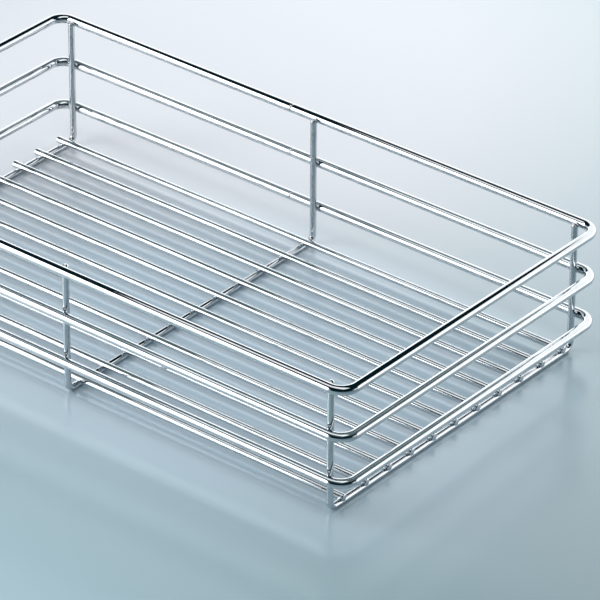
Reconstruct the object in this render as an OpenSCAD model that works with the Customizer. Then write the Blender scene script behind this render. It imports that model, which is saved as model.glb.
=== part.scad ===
// Basket of chrome-plated steel wire that pulls out of a kitchen cabinet.
//
// Three closed rails run round the outside, one above the other. Three U-frames stand inside
// them: each goes down one long side, across under the floor and up the other side. The floor
// is a row of straight wires that lie lengthways on the U-frames. Every crossing is a spot
// weld, where the two wires sink a little into each other.
//
// Millimetres. +X runs along the basket, +Y across it and +Z up. The origin is on the surface
// that the basket stands on, under its middle.

/* [Basket] */
// Length over the outside of the rails
basket_length = 464; // [320:1:560]
// Width over the outside of the rails
basket_width = 263; // [256:1:500]
// Height from the surface it stands on to the top of the upper rail
basket_height = 96; // [75:0.5:160]

/* [Wire] */
// Diameter of the rails' wire
rail_d = 6.5; // [5:0.5:8]
// Diameter of the U-frames' wire
frame_d = 4.5; // [4:0.5:6]
// Diameter of the floor wires
floor_d = 5; // [3:0.5:6]
// Depth that the U-frames' legs and the rails sink into each other at a weld
leg_bite = 0.3; // [0.1:0.1:0.5]
// Depth that the floor wires and the U-frames sink into each other at a weld
floor_bite = 1.2; // [0.1:0.1:1.5]

/* [Rails] */
// Height of the lower rail's centre line
lower_rail_z = 26; // [20:0.5:30]
// Bend radius of the rails' corners, at the centre line
rail_corner_r = 11; // [8:0.5:30]

/* [U-frames] */
// Distance from the end of the rails, at the centre line, to the end U-frames
frame_inset = 14.5; // [8:0.5:40]
// Bend radius of the U-frames' lower corners, at the centre line
frame_bend_r = 5; // [3:0.5:7]
// How far the U-frames' tips stop short of the top of the upper rail
frame_tip_drop = 1.5; // [0.5:0.5:3]

/* [Floor] */
// Number of floor wires, as many as their spacing leaves room for
floor_wires = 11; // [3:2:11]
// Spacing of the floor wires
floor_pitch = 22.5; // [12:0.5:22.5]
// How far the floor wires reach past the U-frame at the left end
floor_tail_left = 5; // [3:0.5:10]
// How far the floor wires reach past the U-frame at the right end
floor_tail_right = 3; // [3:0.5:10]

/* [Hidden] */
$fn = 48;

// Centre lines of the rails
rail_x = basket_length / 2 - rail_d / 2;
rail_y = basket_width / 2 - rail_d / 2;
upper_rail_z = basket_height - rail_d / 2;
middle_rail_z = (lower_rail_z + upper_rail_z) / 2;

// Centre lines of the U-frames
frame_x = rail_x - frame_inset;
frame_y = rail_y - (rail_d + frame_d) / 2 + leg_bite;
frame_z = frame_d / 2;
frame_tip_z = basket_height - frame_tip_drop;

// Centre lines and ends of the floor wires
floor_z = frame_d + floor_d / 2 - floor_bite;
floor_start_x = -frame_x - floor_tail_left;
floor_end_x = frame_x + floor_tail_right;

chrome_colour = "#c9d2d6";

function two_digits(n) = n < 10 ? str("0", n) : str(n);
function floor_wire_name(n) = str("floor_wire_", two_digits(n));

// Wire 1 lies on the +Y side
function floor_wire_y(n) = ((floor_wires + 1) / 2 - n) * floor_pitch;

// A straight length of wire along +X from the origin
module straight_wire(d, length) {
    rotate([0, 90, 0]) cylinder(d = d, h = length);
}

// A quarter bend of wire about the Z axis, from +X round to +Y
module quarter_bend(d, bend_r) {
    rotate_extrude(angle = 90) translate([bend_r, 0]) circle(d = d);
}

// A closed rail: a rounded rectangle of wire at one height
module rail(z) {
    side = 2 * (rail_x - rail_corner_r);
    end = 2 * (rail_y - rail_corner_r);
    color(chrome_colour) translate([0, 0, z]) union() {
        for (turn = [0, 180]) rotate([0, 0, turn]) {
            translate([-side / 2, -rail_y, 0]) straight_wire(rail_d, side);
            translate([rail_x, -end / 2, 0]) rotate([0, 0, 90]) straight_wire(rail_d, end);
            translate([side / 2, end / 2, 0]) quarter_bend(rail_d, rail_corner_r);
            translate([-side / 2, end / 2, 0])
                rotate([0, 0, 90]) quarter_bend(rail_d, rail_corner_r);
        }
    }
}

// A U-frame: up both long sides and across under the floor
module u_frame(x) {
    run = 2 * (frame_y - frame_bend_r);
    leg_foot_z = frame_z + frame_bend_r;
    color(chrome_colour) translate([x, 0, 0]) union() {
        translate([0, -run / 2, frame_z]) rotate([0, 0, 90]) straight_wire(frame_d, run);
        for (side = [0, 1]) mirror([0, side, 0]) {
            translate([0, run / 2, leg_foot_z])
                rotate([90, 0, 90]) rotate([0, 0, -90]) quarter_bend(frame_d, frame_bend_r);
            translate([0, frame_y, leg_foot_z])
                cylinder(d = frame_d, h = frame_tip_z - leg_foot_z);
        }
    }
}

// A floor wire: straight, on top of the U-frames
module floor_wire(n) {
    color(chrome_colour) translate([floor_start_x, floor_wire_y(n), floor_z])
        straight_wire(floor_d, floor_end_x - floor_start_x);
}

module upper_rail() { rail(upper_rail_z); }
module middle_rail() { rail(middle_rail_z); }
module lower_rail() { rail(lower_rail_z); }
module left_u_frame() { u_frame(-frame_x); }
module middle_u_frame() { u_frame(0); }
module right_u_frame() { u_frame(frame_x); }

upper_rail();
middle_rail();
lower_rail();
left_u_frame();
middle_u_frame();
right_u_frame();
for (n = [1 : floor_wires])
    floor_wire(n);
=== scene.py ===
"""Pull-out cabinet basket of chrome-plated steel wire, standing on a pale studio table.

Three closed rails run round the outside, three U-frames stand inside them and eleven straight
wires lie on the U-frames as a floor. Every crossing is a spot weld. Each wire is drawn here as a
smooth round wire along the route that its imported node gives, and replaces that node.

Metres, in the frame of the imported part: +X along the basket, +Y across it, +Z up.
"""

import logging
import math
from dataclasses import dataclass, field
from enum import Enum

import bmesh
import bpy
from mathutils import Matrix, Vector

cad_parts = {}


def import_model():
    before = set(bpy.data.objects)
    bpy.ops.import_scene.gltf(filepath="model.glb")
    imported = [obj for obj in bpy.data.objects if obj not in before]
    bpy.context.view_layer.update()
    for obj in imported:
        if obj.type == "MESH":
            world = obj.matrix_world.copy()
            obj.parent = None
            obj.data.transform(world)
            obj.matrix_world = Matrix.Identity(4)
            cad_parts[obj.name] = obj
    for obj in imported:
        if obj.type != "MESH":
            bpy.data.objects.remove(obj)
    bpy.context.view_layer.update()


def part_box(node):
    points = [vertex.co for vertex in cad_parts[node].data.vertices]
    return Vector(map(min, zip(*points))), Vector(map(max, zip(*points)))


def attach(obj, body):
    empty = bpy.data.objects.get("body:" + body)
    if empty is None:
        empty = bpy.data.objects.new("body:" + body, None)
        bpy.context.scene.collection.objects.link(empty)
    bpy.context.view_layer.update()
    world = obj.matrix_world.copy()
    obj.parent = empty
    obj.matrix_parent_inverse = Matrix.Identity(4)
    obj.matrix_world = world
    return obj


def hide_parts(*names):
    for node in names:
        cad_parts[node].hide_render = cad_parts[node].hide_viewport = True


LOG = logging.getLogger("basket")

MM = 0.001
UP = Vector((0, 0, 1))
ALONG = Vector((1, 0, 0))
ACROSS = Vector((0, 1, 0))

# Attribute that holds each point of a wire as if the wire were still straight: x and y across
# it and z along it, so that marks from the drawing die follow the bends.
DRAWN = "drawn"

RING_SIDES = 36
BEND_STEPS = 20
GROOVE_STEPS = 12
RIM_STEPS = 5
# Points of a wire closer than this share of its radius are one point
MERGE_SHARE = 0.01


class Slot(Enum):
    """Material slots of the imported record."""

    RAIL = "rail_chrome"
    FRAME = "frame_chrome"
    FLOOR = "floor_chrome"


def linear(hex_colour: str) -> tuple[float, float, float, float]:
    """Turns an sRGB hex colour into a linear one.

    Args:
        hex_colour: Colour such as "#c9d2d6".

    Returns:
        Red, green, blue and an alpha of 1.
    """
    channels = [int(hex_colour[i : i + 2], 16) / 255 for i in (1, 3, 5)]
    red, green, blue = (
        c / 12.92 if c <= 0.04045 else ((c + 0.055) / 1.055) ** 2.4 for c in channels
    )
    return red, green, blue, 1.0


def add_node(
    tree: bpy.types.NodeTree, kind: str, settings: dict | None = None, inputs: dict | None = None
) -> bpy.types.Node:
    """Adds one node to a shader tree.

    Args:
        tree: Tree that the node goes into.
        kind: Type of the node.
        settings: Properties of the node by name.
        inputs: Values or output sockets for its inputs, by name or number.

    Returns:
        The new node.
    """
    node = tree.nodes.new(kind)
    for name, value in (settings or {}).items():
        setattr(node, name, value)
    for name, value in (inputs or {}).items():
        if isinstance(value, bpy.types.NodeSocket):
            tree.links.new(value, node.inputs[name])
        else:
            node.inputs[name].default_value = value
    return node


@dataclass(frozen=True)
class ChromedWire:
    """Bright chrome plate over drawn steel wire.

    A mirror with a faintly blue cast. The plate follows the steel under it, so the fine
    lengthways marks of the drawing die and a slow ripple show in its reflections, and handling
    leaves patches that are a little less sharp.
    """

    name: str
    # Chrome returns some 64% of the light, with a little more in the blue
    colour: str = "#ced2d5"
    # Where the plate is thin or handled it is a shade darker
    dull_colour: str = "#bfc5c9"
    sharp_roughness: float = 0.03
    dull_roughness: float = 0.09
    patch_size: float = 14 * MM
    # Levels of the patches' noise between which the plate goes from sharp to dull
    patch_start: float = 0.45
    patch_end: float = 0.75
    # Real die marks are some 0.05 mm apart: drawn coarser, so that they show
    mark_spacing: float = 0.7 * MM
    mark_length: float = 60 * MM
    mark_height: float = 0.004 * MM
    ripple_size: float = 18 * MM
    ripple_height: float = 0.02 * MM

    def material(self) -> bpy.types.Material:
        """Builds the material.

        Returns:
            The new material.
        """
        made = bpy.data.materials.new(self.name)
        made.use_nodes = True
        tree = made.node_tree
        tree.nodes.clear()
        drawn = add_node(tree, "ShaderNodeAttribute", {"attribute_name": DRAWN}).outputs["Vector"]
        patches = add_node(
            tree,
            "ShaderNodeTexNoise",
            inputs={"Vector": drawn, "Scale": 1 / self.patch_size, "Detail": 3.0},
        ).outputs["Fac"]
        dulled = add_node(
            tree,
            "ShaderNodeMapRange",
            inputs={
                "Value": patches,
                "From Min": self.patch_start,
                "From Max": self.patch_end,
            },
        ).outputs["Result"]
        roughness = add_node(
            tree,
            "ShaderNodeMapRange",
            inputs={
                "Value": dulled,
                "To Min": self.sharp_roughness,
                "To Max": self.dull_roughness,
            },
        ).outputs["Result"]
        colour = add_node(
            tree,
            "ShaderNodeMix",
            {"data_type": "RGBA"},
            {
                "Factor": dulled,
                "A": linear(self.colour),
                "B": linear(self.dull_colour),
            },
        )
        stretched = add_node(
            tree,
            "ShaderNodeMapping",
            inputs={
                "Vector": drawn,
                "Scale": (1 / self.mark_spacing, 1 / self.mark_spacing, 1 / self.mark_length),
            },
        ).outputs["Vector"]
        marks = add_node(
            tree, "ShaderNodeTexNoise", inputs={"Vector": stretched, "Scale": 1.0, "Detail": 2.0}
        ).outputs["Fac"]
        ripple = add_node(
            tree,
            "ShaderNodeTexNoise",
            inputs={"Vector": drawn, "Scale": 1 / self.ripple_size, "Detail": 1.0},
        ).outputs["Fac"]
        rippled = add_node(
            tree,
            "ShaderNodeBump",
            inputs={"Height": ripple, "Strength": 1.0, "Distance": self.ripple_height},
        ).outputs["Normal"]
        normal = add_node(
            tree,
            "ShaderNodeBump",
            inputs={
                "Height": marks,
                "Strength": 1.0,
                "Distance": self.mark_height,
                "Normal": rippled,
            },
        ).outputs["Normal"]
        shader = add_node(
            tree,
            "ShaderNodeBsdfPrincipled",
            inputs={
                "Base Color": colour.outputs["Result"],
                "Metallic": 1.0,
                "Roughness": roughness,
                "Normal": normal,
            },
        )
        add_node(
            tree, "ShaderNodeOutputMaterial", inputs={"Surface": shader.outputs["BSDF"]}
        )
        return made


class WireRun:
    """A round wire, built by pulling a ring of points along its route."""

    def __init__(self, diameter: float, start: Vector, heading: Vector) -> None:
        """Puts the first ring at the start of the route.

        Args:
            diameter: Diameter of the wire.
            start: First point of the centre line.
            heading: Direction in which the wire sets off.
        """
        self.radius = diameter / 2
        self.place = start.copy()
        self.heading = heading.normalized()
        self.length = 0.0
        self.mesh = bmesh.new()
        self.drawn = self.mesh.verts.layers.float_vector.new(DRAWN)
        bmesh.ops.create_circle(self.mesh, radius=self.radius, segments=RING_SIDES)
        self.ring = list(self.mesh.verts)
        self.edges = list(self.mesh.edges)
        for vert in self.ring:
            vert[self.drawn] = vert.co
        face_heading = self.heading.to_track_quat("Z", "X").to_matrix().to_4x4()
        bmesh.ops.transform(
            self.mesh, matrix=Matrix.Translation(start) @ face_heading, verts=self.ring
        )
        self.ends = [self.edges]

    def _pull(self, travel: float) -> None:
        """Draws a new ring out of the last one, still in the same place.

        Args:
            travel: Length of wire between the two rings.
        """
        made = bmesh.ops.extrude_edge_only(self.mesh, edges=self.edges)["geom"]
        self.ring = [part for part in made if isinstance(part, bmesh.types.BMVert)]
        new = set(self.ring)
        self.edges = [
            part
            for part in made
            if isinstance(part, bmesh.types.BMEdge) and new.issuperset(part.verts)
        ]
        self.length += travel
        for vert in self.ring:
            across = vert[self.drawn]
            vert[self.drawn] = (across[0], across[1], self.length)

    def straight(self, length: float) -> None:
        """Runs straight on.

        Args:
            length: Length of the straight stretch.
        """
        self._pull(length)
        bmesh.ops.translate(self.mesh, verts=self.ring, vec=self.heading * length)
        self.place += self.heading * length

    def quarter_turn(self, bend_radius: float, axis: Vector) -> None:
        """Bends the wire through a right angle.

        Args:
            bend_radius: Radius of the bend at the centre line.
            axis: Axis of the bend, with the turn anticlockwise about it.
        """
        centre = self.place + axis.cross(self.heading) * bend_radius
        step = Matrix.Rotation(math.pi / 2 / BEND_STEPS, 3, axis)
        for _ in range(BEND_STEPS):
            self._pull(bend_radius * math.pi / 2 / BEND_STEPS)
            bmesh.ops.rotate(self.mesh, cent=centre, matrix=step, verts=self.ring)
            self.place = centre + step @ (self.place - centre)
            self.heading = step @ self.heading

    def groove(self, width: float, depth: float) -> None:
        """Runs straight on across a shallow groove round the wire.

        Args:
            width: Width of the groove.
            depth: Depth of its middle.
        """
        steps = GROOVE_STEPS - 2
        levels = [depth * (1 - math.cos(math.tau * step / steps)) / 2 for step in range(steps + 1)]
        radius = self.radius
        # The first and last steps are level, so that the shading beyond the groove stays straight
        for level in (*levels, 0.0):
            self.straight(width / GROOVE_STEPS)
            shrink = (self.radius - level) / radius
            bmesh.ops.scale(
                self.mesh,
                vec=(shrink, shrink, shrink),
                space=Matrix.Translation(-self.place),
                verts=self.ring,
            )
            radius = self.radius - level

    def close_ring(self) -> None:
        """Joins the last ring of points to the first."""
        bmesh.ops.remove_doubles(
            self.mesh, verts=self.mesh.verts, dist=self.radius * MERGE_SHARE
        )

    def close_ends(self, rounding: float) -> None:
        """Closes both ends with a flat face and a rounded rim.

        Args:
            rounding: Width of the rim.
        """
        self.ends.append(self.edges)
        for edges in self.ends:
            bmesh.ops.edgeloop_fill(self.mesh, edges=edges)
        bmesh.ops.bevel(
            self.mesh,
            geom=[edge for edges in self.ends for edge in edges],
            offset=rounding,
            offset_type="OFFSET",
            segments=RIM_STEPS,
            profile=0.5,
            affect="EDGES",
            material=-1,
        )

    def finished(self, name: str, material: bpy.types.Material) -> bpy.types.Object:
        """Turns the wire into an object.

        Args:
            name: Name of the piece.
            material: Finish of the wire.

        Returns:
            The piece, at the origin, with its place in its mesh.
        """
        return finished_piece(self.mesh, name, material)


def finished_piece(
    mesh: bmesh.types.BMesh, name: str, material: bpy.types.Material
) -> bpy.types.Object:
    """Turns a bmesh into a smooth-shaded object in the scene.

    Args:
        mesh: The shape, which is freed.
        name: Name of the piece.
        material: Finish of the piece.

    Returns:
        The new object.
    """
    bmesh.ops.recalc_face_normals(mesh, faces=mesh.faces)
    for face in mesh.faces:
        face.smooth = True
    data = bpy.data.meshes.new(name)
    mesh.to_mesh(data)
    mesh.free()
    data.materials.append(material)
    piece = bpy.data.objects.new(name, data)
    bpy.context.scene.collection.objects.link(piece)
    return piece


def hand_over(piece: bpy.types.Object, slot: Slot, *nodes: str) -> bpy.types.Object:
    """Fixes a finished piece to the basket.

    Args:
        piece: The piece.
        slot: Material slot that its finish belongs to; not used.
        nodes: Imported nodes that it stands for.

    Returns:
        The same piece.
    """
    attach(piece, "root")
    if nodes:
        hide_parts(*nodes)
    LOG.info("%s: %d faces", piece.name, len(piece.data.polygons))
    return piece


@dataclass
class Rails:
    """The three closed rails of the thickest wire."""

    finish: ChromedWire
    nodes: tuple[str, ...] = ("upper_rail", "middle_rail", "lower_rail")
    corner_radius: float = 11 * MM
    # The butt weld that closes each ring, on the far side: ground down to a shallow groove
    butt_weld_x: float = -22 * MM
    butt_weld_width: float = 2.0 * MM
    butt_weld_depth: float = 0.25 * MM
    # Length of wire beside the weld that takes up the jump in the drawn marks
    seam: float = 0.2 * MM

    def build(self) -> list[bpy.types.Object]:
        """Draws the three rails.

        Returns:
            The rails, with the upper one first.
        """
        material = self.finish.material()
        return [hand_over(self.rail(node, material), Slot.RAIL, node) for node in self.nodes]

    def rail(self, node: str, material: bpy.types.Material) -> bpy.types.Object:
        """Draws one rail round the basket.

        Args:
            node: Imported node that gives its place.
            material: Finish of the wire.

        Returns:
            The rail.
        """
        low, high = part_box(node)
        diameter = high.z - low.z
        side = high.x - low.x - diameter - 2 * self.corner_radius
        end = high.y - low.y - diameter - 2 * self.corner_radius
        weld_end = self.butt_weld_x - self.butt_weld_width / 2
        start = Vector((weld_end, high.y - diameter / 2, (low.z + high.z) / 2))
        wire = WireRun(diameter, start, -ALONG)
        wire.straight(self.seam)
        for length in (side / 2 + weld_end - self.seam, end, side, end):
            wire.straight(length)
            wire.quarter_turn(self.corner_radius, UP)
        wire.straight(side / 2 - weld_end - self.butt_weld_width)
        wire.groove(self.butt_weld_width, self.butt_weld_depth)
        wire.close_ring()
        return wire.finished(f"{node}_wire", material)


@dataclass
class UFrames:
    """The three U-frames, which carry the rails and the floor."""

    finish: ChromedWire
    nodes: tuple[str, ...] = ("left_u_frame", "middle_u_frame", "right_u_frame")
    bend_radius: float = 5 * MM
    tip_rounding: float = 1.7 * MM

    def build(self) -> list[bpy.types.Object]:
        """Draws the three U-frames.

        Returns:
            The U-frames.
        """
        material = self.finish.material()
        return [hand_over(self.u_frame(node, material), Slot.FRAME, node) for node in self.nodes]

    def u_frame(self, node: str, material: bpy.types.Material) -> bpy.types.Object:
        """Draws one U-frame: down, across under the floor and up.

        Args:
            node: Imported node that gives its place.
            material: Finish of the wire.

        Returns:
            The U-frame.
        """
        low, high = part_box(node)
        diameter = high.x - low.x
        leg = high.z - low.z - diameter / 2 - self.bend_radius
        run = high.y - low.y - diameter - 2 * self.bend_radius
        start = Vector(((low.x + high.x) / 2, low.y + diameter / 2, high.z))
        wire = WireRun(diameter, start, -UP)
        wire.straight(leg)
        wire.quarter_turn(self.bend_radius, ALONG)
        wire.straight(run)
        wire.quarter_turn(self.bend_radius, ALONG)
        wire.straight(leg)
        wire.close_ends(self.tip_rounding)
        return wire.finished(f"{node}_wire", material)


@dataclass
class Floor:
    """The straight floor wires, lengthways on the U-frames."""

    finish: ChromedWire
    count: int = 11
    end_rounding: float = 0.8 * MM

    def build(self) -> list[bpy.types.Object]:
        """Draws the floor wires.

        Returns:
            The floor wires.
        """
        material = self.finish.material()
        nodes = [f"floor_wire_{number:02d}" for number in range(1, self.count + 1)]
        return [hand_over(self.floor_wire(node, material), Slot.FLOOR, node) for node in nodes]

    def floor_wire(self, node: str, material: bpy.types.Material) -> bpy.types.Object:
        """Draws one floor wire.

        Args:
            node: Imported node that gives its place.
            material: Finish of the wire.

        Returns:
            The wire.
        """
        low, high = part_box(node)
        middle = (low + high) / 2
        wire = WireRun(high.z - low.z, Vector((low.x, middle.y, middle.z)), ALONG)
        wire.straight(high.x - low.x)
        wire.close_ends(self.end_rounding)
        return wire.finished(f"{node}_rod", material)


@dataclass
class SpotWelds:
    """Metal squeezed out round each spot weld, under the same plate as the wires."""

    finish: ChromedWire
    rails: tuple[str, ...] = Rails.nodes
    frames: tuple[str, ...] = UFrames.nodes
    floor_count: int = Floor.count
    # Radius of a bead across the wires, and half its depth through them
    spread: float = 1.8 * MM
    thickness: float = 0.8 * MM
    bead_sides: int = 20
    bead_rings: int = 12

    def build(self) -> list[bpy.types.Object]:
        """Draws the welds on the rails and those under the floor.

        Returns:
            The two pieces.
        """
        material = self.finish.material()
        return [
            hand_over(self.rail_welds(material), Slot.FRAME),
            hand_over(self.floor_welds(material), Slot.FLOOR),
        ]

    def bead(self, mesh: bmesh.types.BMesh, place: Vector, through: Vector) -> None:
        """Adds one flattened bead.

        Args:
            mesh: Mesh that takes it.
            place: Middle of the weld.
            through: Direction from one wire to the other.
        """
        made = bmesh.ops.create_uvsphere(
            mesh, u_segments=self.bead_sides, v_segments=self.bead_rings, radius=1.0
        )
        stretch = Matrix.Diagonal((self.spread, self.spread, self.thickness, 1))
        turn = through.to_track_quat("Z", "X").to_matrix().to_4x4()
        bmesh.ops.transform(
            mesh, matrix=Matrix.Translation(place) @ turn @ stretch, verts=made["verts"]
        )

    def rail_welds(self, material: bpy.types.Material) -> bpy.types.Object:
        """Draws the welds between the U-frames' legs and the rails.

        Args:
            material: Finish of the welds.

        Returns:
            The welds as one piece.
        """
        mesh = bmesh.new()
        for frame in self.frames:
            frame_low, frame_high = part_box(frame)
            for rail in self.rails:
                low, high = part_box(rail)
                inner_y = high.y - (high.z - low.z)
                for side in (-1, 1):
                    place = Vector(
                        (
                            (frame_low.x + frame_high.x) / 2,
                            side * (frame_high.y + inner_y) / 2,
                            (low.z + high.z) / 2,
                        )
                    )
                    self.bead(mesh, place, ACROSS)
        return finished_piece(mesh, "rail_welds", material)

    def floor_welds(self, material: bpy.types.Material) -> bpy.types.Object:
        """Draws the welds between the floor wires and the U-frames.

        Args:
            material: Finish of the welds.

        Returns:
            The welds as one piece.
        """
        mesh = bmesh.new()
        for frame in self.frames:
            frame_low, frame_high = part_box(frame)
            run_top = frame_low.z + (frame_high.x - frame_low.x)
            for number in range(1, self.floor_count + 1):
                low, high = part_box(f"floor_wire_{number:02d}")
                place = Vector(
                    (
                        (frame_low.x + frame_high.x) / 2,
                        (low.y + high.y) / 2,
                        (run_top + low.z) / 2,
                    )
                )
                self.bead(mesh, place, UP)
        return finished_piece(mesh, "floor_welds", material)


@dataclass(frozen=True)
class SoftBox:
    """A rectangular studio lamp that shows in the chrome but not to the camera."""

    name: str
    place: tuple[float, float, float]
    aim: tuple[float, float, float]
    width: float
    height: float
    radiance: float
    colour: str = "#ffffff"

    def build(self) -> bpy.types.Object:
        """Hangs the lamp.

        Returns:
            The lamp.
        """
        data = bpy.data.lights.new(self.name, "AREA")
        data.shape = "RECTANGLE"
        data.size = self.width
        data.size_y = self.height
        data.energy = self.radiance * math.pi * self.width * self.height
        data.color = linear(self.colour)[:3]
        lamp = bpy.data.objects.new(self.name, data)
        place = Vector(self.place)
        turn = (Vector(self.aim) - place).to_track_quat("-Z", "Y").to_matrix().to_4x4()
        lamp.matrix_world = Matrix.Translation(place) @ turn
        lamp.visible_camera = False
        bpy.context.scene.collection.objects.link(lamp)
        return lamp


@dataclass(frozen=True)
class PaintedLightPool:
    """A soft-edged patch on the table top whose colour is painted light where it is paler than the
    sheet and painted shade where it is darker.
    """

    middle: tuple[float, float]
    # Distances along and across the basket at which it has faded out
    reach: tuple[float, float]
    colour: str
    # Part of the reach within which it is at full strength
    core: float = 0.25

    def mask(self, tree: bpy.types.NodeTree) -> bpy.types.NodeSocket:
        """Adds the patch's outline to the sheet's shader.

        Args:
            tree: Shader tree of the sheet.

        Returns:
            Strength, from 0 outside the patch to 1 in its middle.
        """
        place = add_node(tree, "ShaderNodeTexCoord").outputs["Object"]
        scaled = add_node(
            tree,
            "ShaderNodeMapping",
            {"vector_type": "TEXTURE"},
            {"Vector": place, "Location": (*self.middle, 0), "Scale": (*self.reach, 1)},
        ).outputs["Vector"]
        distance = add_node(
            tree, "ShaderNodeVectorMath", {"operation": "LENGTH"}, {0: scaled}
        ).outputs["Value"]
        return add_node(
            tree,
            "ShaderNodeMapRange",
            {"interpolation_type": "SMOOTHSTEP"},
            {"Value": distance, "From Min": 1.0, "From Max": self.core},
        ).outputs["Result"]


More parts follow.
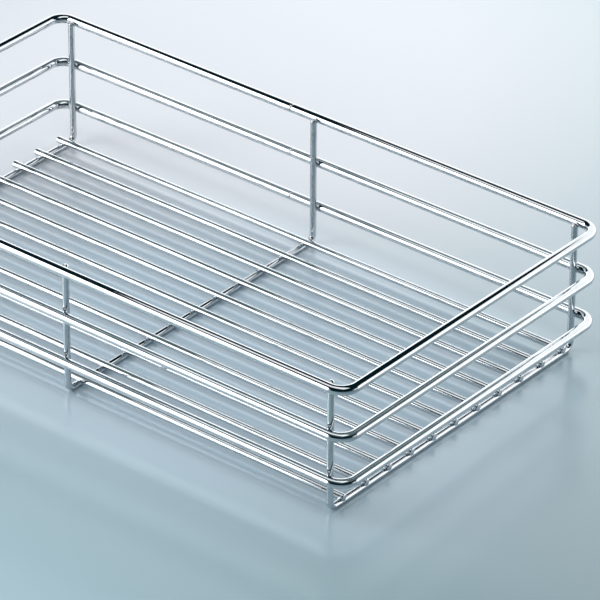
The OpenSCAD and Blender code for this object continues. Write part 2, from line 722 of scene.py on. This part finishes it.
@dataclass
class Studio:
    """The table, the surround and the lamps."""

    table_size: float = 12.0
    # The sheet's own pale blue colour, with pools of painted light and painted shade over it:
    # painted light palest at the back left, pale blue under the basket and in front of it, and
    # painted shade deepest at the right
    table_colour: str = "#a0bac2"
    # Painted light in the first three pools, at the back left, under the basket and in front of
    # it; painted shade in the last, at the right
    painted_light_pools: tuple[PaintedLightPool, ...] = (
        PaintedLightPool((-0.2, 0.24), (0.48, 0.56), "#e1e6ec"),
        PaintedLightPool((0.06, -0.02), (0.42, 0.22), "#cae0ed"),
        PaintedLightPool((0.08, -0.42), (0.4, 0.3), "#bedbe4"),
        PaintedLightPool((0.46, 0.03), (0.3, 0.38), "#94adb4"),
    )
    table_roughness: float = 0.22
    # A hard glossy sheet, which mirrors the lamps at low angles
    table_ior: float = 1.8
    # Level direction in which the camera looks
    away: Vector = field(default_factory=lambda: Vector((-0.63, 0.777, 0)))
    # The pale wall leaves out the camera's side: levels of the dot product with that direction
    # between which it fades in
    gap_end: float = -0.65
    wall_start: float = -0.4
    # Height above the horizon at which the pale wall round the set ends, in degrees
    wall_top: float = 14.0
    wall_edge: float = 5.0
    wall_colour: str = "#f4f6fa"
    wall_radiance: float = 1.1
    dark_colour: str = "#081f27"
    open_colour: str = "#dfe6ee"
    # Part of the open surround's light that reaches the table
    fill: float = 0.35
    lamps: tuple[SoftBox, ...] = (
        SoftBox("overhead_lamp", (0.085, -0.33, 1.25), (0.085, -0.325, 0), 1.65, 0.68, 1.35),
        SoftBox("left_lamp", (-0.97, -1.5, 0.575), (0, -1.5, 0.575), 2.2, 1.15, 4.2),
        SoftBox("back_lamp", (0.1, 0.62, 0.3), (0.1, 0, 0.3), 2.7, 0.6, 1.45),
    )
    # Lights the U-frames only, and shows in their tips
    tip_lamp: SoftBox = SoftBox("tip_lamp", (-0.75, 0.62, 0.85), (-0.75, 0, 0.85), 0.4, 0.5, 1.45)
    # Dim light from above on the lower rails and the floor, which stand in the others' light
    ceiling: SoftBox = SoftBox(
        "grey_ceiling", (0, 0, 2.0), (0, 0.01, 0), 4.5, 4.5, 0.185, "#dcfbff"
    )

    def build(self, frames: list[bpy.types.Object], below: list[bpy.types.Object]) -> None:
        """Sets the studio up.

        Args:
            frames: The U-frames, which the tip lamp lights.
            below: Pieces that the grey ceiling lights.
        """
        self.table()
        self.surround()
        for lamp in self.lamps:
            lamp.build()
        for lamp, pieces in ((self.tip_lamp, frames), (self.ceiling, below)):
            lit = bpy.data.collections.new(f"lit by {lamp.name}")
            for piece in pieces:
                lit.objects.link(piece)
            lamp.build().light_linking.receiver_collection = lit

    def table(self) -> None:
        """Lays the glossy table top, with pools of painted light and shade in its colour."""
        mesh = bmesh.new()
        bmesh.ops.create_grid(mesh, x_segments=1, y_segments=1, size=self.table_size / 2)
        material = bpy.data.materials.new("pale acrylic table top with painted light and shade")
        material.use_nodes = True
        tree = material.node_tree
        tree.nodes.clear()
        colour = linear(self.table_colour)
        # Mixes the pools' painted light and shade into the sheet's colour
        for pool in self.painted_light_pools:
            colour = add_node(
                tree,
                "ShaderNodeMix",
                {"data_type": "RGBA"},
                {"Factor": pool.mask(tree), "A": colour, "B": linear(pool.colour)},
            ).outputs["Result"]
        shader = add_node(
            tree,
            "ShaderNodeBsdfPrincipled",
            inputs={
                "Base Color": colour,
                "Roughness": self.table_roughness,
                "IOR": self.table_ior,
            },
        )
        add_node(tree, "ShaderNodeOutputMaterial", inputs={"Surface": shader.outputs["BSDF"]})
        finished_piece(mesh, "table_top", material)

    def surround(self) -> None:
        """Paints what the chrome sees round the set: a pale wall on three sides, dark above."""
        world = bpy.data.worlds.new("studio surround")
        bpy.context.scene.world = world
        world.use_nodes = True
        tree = world.node_tree
        tree.nodes.clear()
        direction = add_node(tree, "ShaderNodeTexCoord").outputs["Generated"]
        height = add_node(tree, "ShaderNodeSeparateXYZ", inputs={0: direction}).outputs["Z"]
        below_top = add_node(
            tree,
            "ShaderNodeMapRange",
            {"interpolation_type": "SMOOTHSTEP"},
            {
                "Value": height,
                "From Min": math.sin(math.radians(self.wall_top + self.wall_edge)),
                "From Max": math.sin(math.radians(self.wall_top - self.wall_edge)),
            },
        ).outputs["Result"]
        facing = add_node(
            tree,
            "ShaderNodeVectorMath",
            {"operation": "DOT_PRODUCT"},
            {0: direction, 1: self.away},
        ).outputs["Value"]
        not_front = add_node(
            tree,
            "ShaderNodeMapRange",
            {"interpolation_type": "SMOOTHSTEP"},
            {"Value": facing, "From Min": self.gap_end, "From Max": self.wall_start},
        ).outputs["Result"]
        on_wall = add_node(
            tree, "ShaderNodeMath", {"operation": "MULTIPLY"}, {0: below_top, 1: not_front}
        ).outputs["Value"]
        wall = [channel * self.wall_radiance for channel in linear(self.wall_colour)]
        seen = add_node(
            tree,
            "ShaderNodeMix",
            {"data_type": "RGBA"},
            {"Factor": on_wall, "A": linear(self.dark_colour), "B": wall},
        ).outputs["Result"]
        rays = add_node(tree, "ShaderNodeLightPath")
        colour = add_node(
            tree,
            "ShaderNodeMix",
            {"data_type": "RGBA"},
            {
                "Factor": rays.outputs["Is Glossy Ray"],
                "A": linear(self.open_colour),
                "B": seen,
            },
        ).outputs["Result"]
        strength = add_node(
            tree,
            "ShaderNodeMapRange",
            inputs={"Value": rays.outputs["Is Diffuse Ray"], "To Min": 1.0, "To Max": self.fill},
        )
        background = add_node(
            tree,
            "ShaderNodeBackground",
            inputs={"Color": colour, "Strength": strength.outputs["Result"]},
        )
        add_node(
            tree, "ShaderNodeOutputWorld", inputs={"Surface": background.outputs["Background"]}
        )


@dataclass
class Camera:
    """The photograph's viewpoint."""

    place: tuple[float, float, float] = (1.7459, -2.0328, 1.6179)
    aim: tuple[float, float, float] = (0.0913, -0.0023, 0.048)
    # The photograph leans a third of a degree
    roll: float = math.radians(0.348)
    # Focal length and width of the sensor, in millimetres
    lens: float = 287.61
    sensor_width: float = 36.0
    clip_end: float = 50.0

    def build(self) -> None:
        """Sets the camera up and looks through it."""
        data = bpy.data.cameras.new("camera")
        data.sensor_width = self.sensor_width
        data.lens = self.lens
        data.clip_end = self.clip_end
        camera = bpy.data.objects.new("camera", data)
        place = Vector(self.place)
        turn = (Vector(self.aim) - place).to_track_quat("-Z", "Y").to_matrix().to_4x4()
        roll = Matrix.Rotation(self.roll, 4, "Z")
        camera.matrix_world = Matrix.Translation(place) @ turn @ roll
        bpy.context.scene.collection.objects.link(camera)
        bpy.context.scene.camera = camera


def main() -> None:
    """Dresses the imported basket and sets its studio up."""
    logging.basicConfig(level=logging.INFO, format="%(name)s %(message)s")
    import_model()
    bpy.context.scene.view_settings.view_transform = "Standard"
    Camera().build()
    rails = Rails(ChromedWire("chrome-plated drawn steel wire, rails")).build()
    frames = UFrames(ChromedWire("chrome-plated drawn steel wire, U-frames")).build()
    floor = Floor(ChromedWire("chrome-plated drawn steel wire, floor")).build()
    welds = SpotWelds(ChromedWire("chrome plate over weld flash", sharp_roughness=0.08)).build()
    # The upper rail stands clear of the grey ceiling and keeps its black reflections
    below = [*rails[1:], *floor, *welds]
    Studio().build(frames, below)
    LOG.info("%d pieces dressed", len(rails) + len(frames) + len(floor) + len(welds))


if __name__ == "__main__":
    main()
